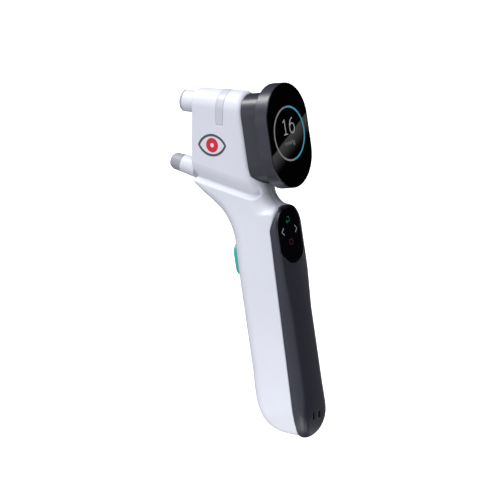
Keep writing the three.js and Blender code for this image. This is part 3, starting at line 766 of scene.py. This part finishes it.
SEAM = 0.07
SEAM_LIP = 0.22
HALF_CELL = 0.56
HALF_BOX = (-1.1, 10.0, -195), (16.5, 76, 36)


def make_housing():
    """Both halves are meshed on the right, and the left one is then mirrored."""
    for name, side in (("housing_left", -1), ("housing_right", 1)):
        def half(x, a, b):
            return rounded_and(housing_field(side * x, a, b), SEAM - x, SEAM_LIP)

        vertices, quads = surface_net(half, *HALF_BOX, HALF_CELL)
        vertices[:, 0] *= side
        faces = quads if side > 0 else quads[:, ::-1]
        new_piece(name + "_shell", place_grip(*vertices.T), faces, WHITE, "housing", [name])


def make_light_band():
    """The frosted strip, flush with the arch. Its box is found from the zone's corners."""
    def field(x, a, b):
        return rounded_and(layer(sideways(x, a, b), 0, BAND_THICKNESS), band_zone(a, b, -0.04), 0.08)

    rear, front, bottom, top = BAND_START - 2, BAND_END + 2, -1, 27
    low = (-13, grip_of(rear, top)[0], grip_of(rear, bottom)[1])
    high = (13, grip_of(front, bottom)[0], grip_of(front, top)[1])
    moulded("light_band_strip", field, low, high, 0.4, BAND, "light_band", ["light_band"])


# ---------- the back cover, its window and keys ----------

def cover_outline():
    """Side view of the cover, as (a, b, edge radius). The housing's own view cuts off its front."""
    back, bottom = COVER_BACK, COVER_BOTTOM
    pulls = np.array([(back, -160), (back, -177), (back + 3.6, bottom + 2.5),
                      (COVER_SEAM_BOTTOM + 0.3, bottom)])
    curve = [np.array([(1 - t) ** 3, 3 * t * (1 - t) ** 2, 3 * t * t * (1 - t), t ** 3]) @ pulls
             for t in np.linspace(0, 1, 40)]
    heel = [(*point, radius) for point, radius in zip(curve, np.linspace(5.8, 2.0, len(curve)))]
    bend = 2.6
    crown = [(back + bend - bend * math.sin(turn), COVER_TOP - bend + bend * math.cos(turn), 1.8)
             for turn in np.linspace(0, math.pi / 2, 8)]
    front = [(COVER_SEAM_BOTTOM + 2.0, bottom + 0.4, 1.5), (COVER_SEAM_BOTTOM + 2.9, bottom + 2.6, 1.2),
             (24, bottom + 8, 1.0), (24, COVER_TOP, 1.0)]
    return Outline(crown + [(back, -86, 1.8), (back, -112, 5.8)] + heel + front)


COVER_VIEW = cover_outline()


def cover_outside(x, a, b):
    """The cover's views from the side and from behind, crowned across its back."""
    rear = stadium_field(x, np.maximum(b, HEEL + 1), 2 * GRIP_HALF_WIDTH, COVER_TOP, HEEL - 60)
    rear = np.where(b > HEEL, rear, heel_ellipse(x, b, GRIP_HALF_WIDTH))
    crown = np.hypot(x, a - COVER_BACK - COVER_CROWN_RADIUS) - COVER_CROWN_RADIUS
    back = rounded_and(COVER_VIEW(a, b), crown, 2.0)
    return rounded_and(back, rear, COVER_VIEW.edge(a, b))


def strap_slots(x, b):
    """Distance to the nearer of the two strap slots."""
    straight = STRAP_SLOT_HALF - STRAP_SLOT_RADIUS
    along = b - np.clip(b, STRAP_SLOT_B - straight, STRAP_SLOT_B + straight)
    return np.hypot(np.abs(x) - STRAP_SLOT_X, along) - STRAP_SLOT_RADIUS


def window_zone(x, a, b, extra=0.0):
    """The part of the cover's back that the window takes up."""
    seen = stadium_field(x, b, WINDOW_WIDTH + 2 * extra, WINDOW_TOP + extra, WINDOW_BOTTOM - extra)
    return np.maximum(seen, a - COVER_BACK - WINDOW_WRAP - extra)


# The boxes that the fields are meshed in. COVER_BOX keeps its cells' corners off the flat inner face.
COVER_BOX = (-16, 6.6, -195), (16, 26.6, -42.5)
COVER_CELL = 0.5
WINDOW_BOX = (-15.5, 6.5, -86), (15.5, 12, -43)
WINDOW_CELL = 0.42
SLOT_SHADE_BOX = (-1.6, -0.5, -3.2), (1.6, 7, 3.2)
SLOT_SHADE_CELL = 0.12


def make_cover():
    """The wall, less the housing, the window's seat and the strap slots."""
    def field(x, a, b):
        outside = cover_outside(x, a, b)
        shell = rounded_and(layer(outside, 0, COVER_WALL), COVER_SEAM_GAP - SIDE_VIEW(a, b), 0.35)
        seat = np.maximum(window_zone(x, a, b, WINDOW_SEAT_GAP), -(outside + WINDOW_SEAT_DEPTH))
        shell = rounded_and(shell, -seat, 0.06)
        return rounded_and(shell, SLOT_SHADE_WALL - strap_slots(x, b), 0.15)

    moulded("grip_back_cover_shell", field, *COVER_BOX, COVER_CELL, COVER, "slate_plastic",
            ["grip_back_cover"])


def make_slot_shades():
    """The black liner of each strap slot: painted shade, standing in for the dark inside of the slot."""
    def field(x, a, b):
        ring = layer(strap_slots(x, b), 0.02 - SLOT_SHADE_WALL, 0)
        return np.maximum(layer(cover_outside(x, a, b), SLOT_SHADE_SINK, SLOT_SHADE_DEPTH), ring)

    for side, middle in (("left", -STRAP_SLOT_X), ("right", STRAP_SLOT_X)):
        box = np.array(SLOT_SHADE_BOX) + (middle, COVER_BACK, STRAP_SLOT_B)
        moulded(f"strap_slot_shade_{side}", field, *box, SLOT_SHADE_CELL, SLOT_SHADE, "slate_plastic")


def make_window():
    def field(x, a, b):
        plate = layer(cover_outside(x, a, b), WINDOW_SINK, WINDOW_THICKNESS)
        return rounded_and(plate, window_zone(x, a, b), 0.1)

    moulded("keypad_window_plate", field, *WINDOW_BOX, WINDOW_CELL, WINDOW, "black_window",
            ["keypad_window"])


# ---------- flat marks: strokes on the glass, the window and the housing ----------

MARK_THICKNESS = 0.05
MARK_LIFT = 0.01


def stroke(path, width, closed=False):
    """A flat ribbon along a path of (u, v) points, as left and right edges."""
    path = np.array(path, float)
    if closed:
        ahead, behind = np.roll(path, -1, axis=0), np.roll(path, 1, axis=0)
    else:
        ahead = np.vstack([path[1:], 2 * path[-1] - path[-2]])
        behind = np.vstack([2 * path[0] - path[1], path[:-1]])
    along = ahead - behind
    along /= np.linalg.norm(along, axis=1, keepdims=True)
    across = np.stack([-along[:, 1], along[:, 0]], axis=1) * width / 2
    return path + across, path - across, closed


def mark(name, strokes, place, look):
    """One thin piece from several strokes. place(u, v, depth) gives points in metres, depth counting
    outwards from the surface."""
    vertices, faces = [], []
    for left, right, closed in strokes:
        count = len(left)
        base = sum(len(part) for part in vertices)
        for edge, depth in ((left, MARK_THICKNESS), (right, MARK_THICKNESS), (right, 0), (left, 0)):
            vertices.append(place(edge[:, 0], edge[:, 1], depth))
        for row in range(4):
            faces += bridge(base + row * count, base + (row + 1) % 4 * count, count, count - (not closed))
        if not closed:
            for i in (0, count - 1):
                faces.append(tuple(base + row * count + i for row in range(4)))
    finish_faces(new_piece(name, np.concatenate(vertices), faces, look, "housing"))


def on_glass(u, v, depth):
    return place_grip(u, -depth - MARK_LIFT, v)


def cover_depth(u, v):
    """How far the window's surface lies from the screen's plane at (x, b)."""
    low, high = np.full(np.shape(u), COVER_BACK - 1.0), np.full(np.shape(u), COVER_BACK + 9.0)
    for _ in range(30):
        middle = (low + high) / 2
        outside = cover_outside(np.asarray(u), middle, np.asarray(v)) + WINDOW_SINK > 0
        low, high = np.where(outside, middle, low), np.where(outside, high, middle)
    return (low + high) / 2


def on_window(u, v, depth):
    return place_grip(u, cover_depth(u, v) - depth - MARK_LIFT, v)


def on_left_side(u, v, depth):
    """The housing's left side, u towards the patient and v up, in the head frame."""
    _, half = ridge_at(u)
    return world_of(-half - depth - 2 * MARK_LIFT, u, v)


RING_RADIUS = 16.8
RING_WIDTH = 1.15
RING_READ_SPAN = 93, -81
RING_REST_SPAN = 94, 278
UNIT_SIZE = 4.2
UNIT_X = -0.7
UNIT_B = -7.0


def make_display_marks():
    """A reading ring, a number and its unit, all in the screen's plane."""
    blue = arc(0, 0, RING_RADIUS, RING_RADIUS, *RING_READ_SPAN, 90)
    grey = arc(0, 0, RING_RADIUS, RING_RADIUS, *RING_REST_SPAN, 110)
    mark("display_ring_reading", [stroke(blue, RING_WIDTH)], on_glass, RING_READ)
    mark("display_ring_rest", [stroke(grey, RING_WIDTH)], on_glass, RING_REST)

    line = 0.7
    one = [stroke([(-5.8, 7.6), (-3.9, 9.1), (-3.8, 9.1)], line), stroke([(-3.8, 9.3), (-3.8, -0.3)], line),
           stroke([(-5.9, -0.1), (-1.7, -0.1)], line)]
    bowl = arc(3.8, 2.9, 2.6, 3.1, 0, 360, 60)[:-1]
    stem = [(5.2, 9.3), (3.8, 8.8), (2.4, 7.3), (1.5, 5.4), (1.2, 2.9)]
    six = [stroke(bowl, line, closed=True), stroke(np.array(smooth_through(stem)), line)]
    mark("display_number", one + six, on_glass, DIGITS)


def make_display_unit():
    """The pressure unit under the number, in small letters."""
    text = bpy.data.curves.new("display_unit", "FONT")
    text.body = "mmHg"
    text.size = UNIT_SIZE
    text.align_x = "CENTER"
    text.extrude = MARK_THICKNESS / 2
    holder = add_object("display_unit_text", text)
    bpy.context.view_layer.update()
    mesh = bpy.data.meshes.new_from_object(holder)
    flat = np.array([v.co for v in mesh.vertices])
    faces = [tuple(f.vertices) for f in mesh.polygons]
    bpy.data.objects.remove(holder)
    placed = on_glass(flat[:, 0] + UNIT_X, flat[:, 1] + UNIT_B, flat[:, 2] + MARK_THICKNESS / 2)
    new_piece("display_unit", placed, faces, UNIT_TEXT, "housing")


KEYS_X = -2.2
KEYS_B = -60.7
KEY_SPACING = 7.2
KEY_LINE = 0.5
CHEVRON_LINE = 0.62


def key_path(points, x, b):
    """Moves the points of a key's sign to its place on the window."""
    return np.array(points) + (KEYS_X + x, KEYS_B + b)


def make_keys():
    """Touch keys under the window, in a diamond: back arrow, previous, next and stop."""
    shaft = key_path([(-1.3, 1.4), (1.0, 1.4), (1.0, -1.4), (-2.3, -1.4)], 0, KEY_SPACING)
    head = key_path([(-1.3, -0.3), (-2.4, -1.4), (-1.3, -2.5)], 0, KEY_SPACING)
    arrow = [stroke(shaft, KEY_LINE), stroke(head, KEY_LINE)]
    mark("key_back", arrow, on_window, KEY_GREEN)
    for name, side in (("key_previous", -1), ("key_next", 1)):
        chevron = key_path([(-1.1 * side, 2.2), (1.1 * side, 0), (-1.1 * side, -2.2)], side * KEY_SPACING, 0)
        mark(name, [stroke(chevron, CHEVRON_LINE)], on_window, KEY_PALE)
    square = key_path([(-1.6, 1.5), (-1.6, -1.5), (1.6, -1.5), (1.6, 1.5)], 0, -KEY_SPACING)
    mark("key_stop", [stroke(square, KEY_LINE, closed=True)], on_window, KEY_RED)


EYE_Y = 50.6
EYE_Z = -11.3
EYE_HALF = 10.2
EYE_TILT = math.radians(-4)
LID_RADIUS = 11.3
LID_SINK = 4.9
LID_LINE = 1.5
IRIS_RADIUS = 3.0
IRIS_LINE = 3.2


def make_eye_mark():
    """A plain eye pictogram on the left side: a dark almond with a red iris."""
    def placed(u, v, depth):
        y, z = turned(u, v, EYE_TILT)
        return on_left_side(EYE_Y + y, EYE_Z + z, depth)

    reach = math.degrees(math.acos(EYE_HALF / LID_RADIUS))
    upper = arc(0, -LID_SINK, LID_RADIUS, LID_RADIUS, reach, 180 - reach)
    lower = arc(0, LID_SINK, LID_RADIUS, LID_RADIUS, 180 + reach, 360 - reach)
    almond = np.concatenate([upper, lower[1:-1]])
    mark("eye_mark_lids", [stroke(almond, LID_LINE, closed=True)], placed, PRINT_DARK)
    iris = [stroke(circle(IRIS_RADIUS, 63), IRIS_LINE, closed=True)]
    mark("eye_mark_iris", iris, placed, PRINT_RED)


# ---------- the screen head ----------

RIM = 0.4
GLASS_MIDDLE = 14
BEZEL_WALL = 3
BEZEL_HOLE = 10
BEZEL_FLOOR = SCREEN_DEPTH - 2
NECK_HOLE = 8


def make_screen():
    """The glass, the cup that holds it and the neck."""
    face_section = stadium_section(FACE_WIDTH, FACE_TOP, FACE_HEIGHT)
    glass = [(GLASS_MIDDLE, 0, 0), (RIM, 0, 0.3), (RIM, GLASS_THICKNESS, 0.3),
             (GLASS_MIDDLE, GLASS_THICKNESS, 0)]
    loft("display_glass_pane", face_section, glass, place_grip, GLASS, ["display_glass"])

    seat = GLASS_THICKNESS + 0.1
    bezel = [(RIM - 0.04, 0.35, 0), (0.05, 0.35, 0.2), (0.05, SCREEN_DEPTH, 0.7),
             (BEZEL_HOLE, SCREEN_DEPTH, 0), (BEZEL_HOLE, BEZEL_FLOOR, 0), (BEZEL_WALL, BEZEL_FLOOR, 0.8),
             (BEZEL_WALL, seat, 0), (RIM - 0.04, seat, 0)]
    loft("display_bezel_cup", face_section, bezel, place_grip, SLATE,
         ["display_bezel"], closed=True)

    front, rear = SCREEN_DEPTH + 0.05, NECK_END - 0.1
    neck = [(WALL, front, 0), (0, front, 0.4), (0, rear, 0.5), (NECK_HOLE, rear, 0),
            (NECK_HOLE, rear - 2.4, 0), (WALL, rear - 2.4, 1.0), (WALL, front + 1, 0)]
    loft("display_neck_shell", stadium_section(NECK_WIDTH, NECK_TOP, NECK_HEIGHT), neck, place_grip,
         SLATE, ["display_neck"], closed=True)


# ---------- the forehead rest, the nose and the collar ----------

def make_rest():
    """The sliding tube and the dished pad on its end."""
    tube = [(REST_BORE, REST_BACK, 0), (REST_RADIUS, REST_BACK, 0.4), (REST_RADIUS, REST_FRONT, 0.5),
            (REST_BORE, REST_FRONT, 0.3)]
    loft("forehead_rest_tube_turned", circle, tube, place_rest, WHITE,
         ["forehead_rest_tube"], body="forehead_rest", closed=True)
    start, end = REST_FRONT + 0.06, REST_FRONT + REST_PAD
    dish = end - 0.35
    pad = [(0.4, start, 0), (REST_RADIUS - 0.05, start, 0.2), (REST_RADIUS - 0.05, end, 0.75),
           (REST_RADIUS - 2.4, end, 0.2), (REST_RADIUS - 2.8, dish, 0.3), (0.4, dish, 0)]
    loft("forehead_rest_pad_moulded", circle, pad, place_rest, PAD,
         ["forehead_rest_pad"], body="forehead_rest")


def make_nose():
    """The nose cone with its plug, and the collar with its spigot."""
    root, plug = -NOSE_LENGTH, -NOSE_LENGTH - NOSE_PLUG_LENGTH
    cone = [(NOSE_BORE, plug, 0), (NOSE_PLUG_RADIUS, plug, 0.4), (NOSE_PLUG_RADIUS, root, 0),
            (NOSE_ROOT_RADIUS, root, 0.1), (NOSE_TIP_RADIUS, -0.08, 0.2), (NOSE_BORE, -0.08, 0.2)]
    loft("nose_cone_turned", circle, cone, place_nose, WHITE, ["nose_cone"], closed=True)
    spigot, dish = -COLLAR_SPIGOT_LENGTH, COLLAR_LENGTH - 0.9
    collar = [(PROBE_BORE, spigot, 0), (COLLAR_SPIGOT, spigot, 0.4), (COLLAR_SPIGOT, 0, 0.1),
              (NOSE_TIP_RADIUS, 0, 0.25), (5.3, COLLAR_LENGTH - 2.4, 2.2), (3.9, COLLAR_LENGTH, 1.2),
              (2.5, COLLAR_LENGTH, 0.3), (2.0, dish, 0.3), (PROBE_BORE, dish, 0.1)]
    loft("probe_collar_turned", circle, collar, place_nose, COLLAR,
         ["probe_collar"], body="collar", closed=True)


def make_button():
    """The trigger's cap, with a flange that stays behind its opening."""
    section = stadium_section(BUTTON_WIDTH, BUTTON_B + BUTTON_LENGTH / 2, BUTTON_LENGTH)
    middle = 5.3
    cap = [(middle, BUTTON_FLANGE_BACK, 0), (-BUTTON_FLANGE, BUTTON_FLANGE_BACK, 0.2),
           (-BUTTON_FLANGE, BUTTON_FLANGE_FRONT, 0.2), (0, BUTTON_FLANGE_FRONT, 0.2), (0, BUTTON_FACE, 0.8),
           (4.4, BUTTON_FACE - 0.05, 0.5), (middle, BUTTON_FACE - 0.3, 0)]
    loft("measure_button_cap", section, cap, place_grip, TEAL,
         ["measure_button"], body="button")


# ---------- studio ----------

BACK_AZIMUTH = math.radians(-57.2)
BACK_ELEVATION = math.radians(12)
VIEW_WIDTH = 312.5
LENS = 1000
SENSOR = 36
AIM_RIGHT = -24.6
AIM_UP = -72.9


def view_axes():
    """Unit vectors from the instrument back to the camera, and the picture's right and up."""
    back = Vector((math.sin(BACK_AZIMUTH) * math.cos(BACK_ELEVATION),
                   -math.cos(BACK_AZIMUTH) * math.cos(BACK_ELEVATION), math.sin(BACK_ELEVATION)))
    right = Vector((math.cos(BACK_AZIMUTH), math.sin(BACK_AZIMUTH), 0))
    return back, right, back.cross(right)


def look_at(holder, aim, back, distance):
    """Puts a camera or a light at a distance back from a point, facing it."""
    holder.location = aim + back * distance
    holder.rotation_mode = "QUATERNION"
    holder.rotation_quaternion = (-back).to_track_quat("-Z", "Y")


def make_camera():
    """A very long lens far away, as the photo shows next to no perspective."""
    back, right, up = view_axes()
    aim = (Vector(CENTRE) + AIM_RIGHT * right + AIM_UP * up) * MM
    camera = add_object("camera", bpy.data.cameras.new("camera"))
    camera.data.lens = LENS
    camera.data.sensor_width = SENSOR
    camera.data.clip_end = 100
    look_at(camera, aim, back, VIEW_WIDTH * MM * LENS / SENSOR)
    bpy.context.scene.camera = camera


def softbox(name, direction, distance, size, power):
    """A rectangular studio light aimed at the middle of the instrument."""
    light = bpy.data.lights.new(name, "AREA")
    light.shape = "RECTANGLE"
    light.size, light.size_y = size
    light.energy = power
    holder = add_object(name, light)
    low, high = cad_box
    look_at(holder, (Vector(low) + Vector(high)) / 2, Vector(direction).normalized(), distance)
    holder.visible_camera = False


ROOM_LEVELS = ((-1.0, 0.05), (-0.4, 0.05), (-0.2, 0.0), (0.5, 0.0), (0.72, 2.1), (1.0, 2.1))
ROOM_TINT = (0.92, 0.94, 1.0)
LEFT_WALL = 0.47
OVERHEAD_SPREAD = (-0.15, 0.2)
OVERHEAD_SHARES = (1.2, 0.12)
LEFT_WALL_SPREAD = (-0.15, -0.5)
PAPER_LEVEL = 1.05


def make_world():
    """A room to light by: a ceiling that is bright towards the left and dim towards the right, a pale
    wall on the left, and dark elsewhere. The camera sees plain white paper instead."""
    world = bpy.data.worlds.new("studio")
    bpy.context.scene.world = world
    world.use_nodes = True
    tree = world.node_tree
    nodes, links = tree.nodes, tree.links
    height, across = (coordinate(tree, "Generated", axis) for axis in "ZX")
    levels = [((level + 1) / 2, [light * tint for tint in ROOM_TINT]) for level, light in ROOM_LEVELS]
    room = nodes["Background"]
    links.new(ramp(tree, map_range(tree, height, (-1, 1)), levels), room.inputs["Color"])
    overhead = map_range(tree, across, OVERHEAD_SPREAD, OVERHEAD_SHARES, smooth=True)
    links.new(overhead, room.inputs["Strength"])
    wall = set_inputs(nodes.new("ShaderNodeBackground"), {"Color": (*ROOM_TINT, 1)})
    side = map_range(tree, across, LEFT_WALL_SPREAD, (0, LEFT_WALL), smooth=True)
    links.new(side, wall.inputs["Strength"])
    both = nodes.new("ShaderNodeAddShader")
    paper = set_inputs(nodes.new("ShaderNodeBackground"), {"Color": (1, 1, 1, 1), "Strength": PAPER_LEVEL})
    path = nodes.new("ShaderNodeLightPath")
    mix = nodes.new("ShaderNodeMixShader")
    wires = (
        (room.outputs["Background"], both.inputs[0]),
        (wall.outputs["Background"], both.inputs[1]),
        (path.outputs["Is Camera Ray"], mix.inputs["Fac"]),
        (both.outputs["Shader"], mix.inputs[1]),
        (paper.outputs["Background"], mix.inputs[2]),
        (mix.outputs["Shader"], nodes["World Output"].inputs["Surface"]),
    )
    for source, socket in wires:
        links.new(source, socket)


FLOOR_DROP = 0.30
FLOOR_SIZE = 40
FLOOR_GLOW = 0.75


def make_sheet(name, corners, look):
    """One flat quad for the studio."""
    mesh = bpy.data.meshes.new(name)
    mesh.from_pydata(corners, [], [(0, 1, 2, 3)])
    sheet = add_object(name, mesh)
    mesh.materials.append(look)
    return sheet


def make_floor():
    """White paper under the instrument, which only the camera sees."""
    half = FLOOR_SIZE / 2
    corners = [(x * half, y * half, -FLOOR_DROP) for x, y in ((-1, -1), (1, -1), (1, 1), (-1, 1))]
    look = lit(material("floor_paper", (0.9, 0.9, 0.9), 0.8, shade=0.005), (1, 1, 1), FLOOR_GLOW)
    floor = make_sheet("floor", corners, look)
    floor.visible_diffuse = False
    floor.visible_glossy = False
    floor.visible_shadow = False


GLASS_CARD_AWAY = 130
GLASS_CARD_EDGE = ((-26, -12.1), (26, 11.7))
GLASS_CARD_DROP = 13
GLASS_CARD_GLOW = 0.5


def fading_glow(name, drop):
    """An emission that is brightest at y = 0 and fades out over a drop below it."""
    look = bpy.data.materials.new(name)
    look.use_nodes = True
    tree = look.node_tree
    tree.nodes.remove(tree.nodes["Principled BSDF"])
    glow = tree.nodes.new("ShaderNodeEmission")
    fade = map_range(tree, coordinate(tree, "Object", "Y"), (-drop, 0), (0, GLASS_CARD_GLOW), smooth=True)
    tree.links.new(fade, glow.inputs["Strength"])
    tree.links.new(glow.outputs["Emission"], tree.nodes["Material Output"].inputs["Surface"])
    return look


def make_glass_card():
    """A dim card off to the right that only reflections see: the soft diagonal wedge on the screen."""
    back, _, _ = view_axes()
    normal = Vector((0, -math.cos(LEAN), math.sin(LEAN)))
    towards = 2 * back.dot(normal) * normal - back
    (x0, b0), (x1, b1) = GLASS_CARD_EDGE
    start, end = (Vector(place_grip(x, 0, b)) for x, b in ((x0, b0), (x1, b1)))
    along = (end - start).normalized()
    turn = Matrix((along, normal.cross(along), normal)).transposed().to_4x4()
    length, drop = (end - start).length, GLASS_CARD_DROP * MM
    card = make_sheet("glass_card", [(0, 0, 0), (length, 0, 0), (length, -drop, 0), (0, -drop, 0)],
                      fading_glow("glass_card", drop))
    card.matrix_world = Matrix.Translation(start + towards * GLASS_CARD_AWAY * MM) @ turn
    card.visible_camera = False
    card.visible_diffuse = False
    card.visible_shadow = False


# name, direction from the instrument, distance and size in metres, power in watts
LIGHTS = (
    ("back_light", (-0.16, 0.688, 0.707), 1.5, (0.45, 0.5), 7.5),
    ("right_light", (0.93, -0.12, -0.35), 2.2, (1.0, 1.9), 5),
    ("front_light", (-0.85, 0.55, 0.1), 2.2, (1.2, 1.2), 2),
    ("low_light", (0.1, -0.6, -0.8), 2.2, (1.0, 1.0), 6),
    ("heel_light", (-0.5, -0.2, -0.95), 0.30, (0.2, 0.2), 0.33),
    ("rear_light", (-0.3, -0.9, 0.35), 2.2, (1.0, 1.0), 1.5),
)


def make_studio():
    make_camera()
    make_world()
    make_floor()
    make_glass_card()
    for light in LIGHTS:
        softbox(*light)
    bpy.context.scene.view_settings.view_transform = "Standard"


# ---------- everything ----------

finish_inner_nodes()
make_housing()
make_light_band()
make_cover()
make_slot_shades()
make_window()
make_screen()
make_rest()
make_nose()
make_button()
make_display_marks()
make_display_unit()
make_keys()
make_eye_mark()
make_studio()
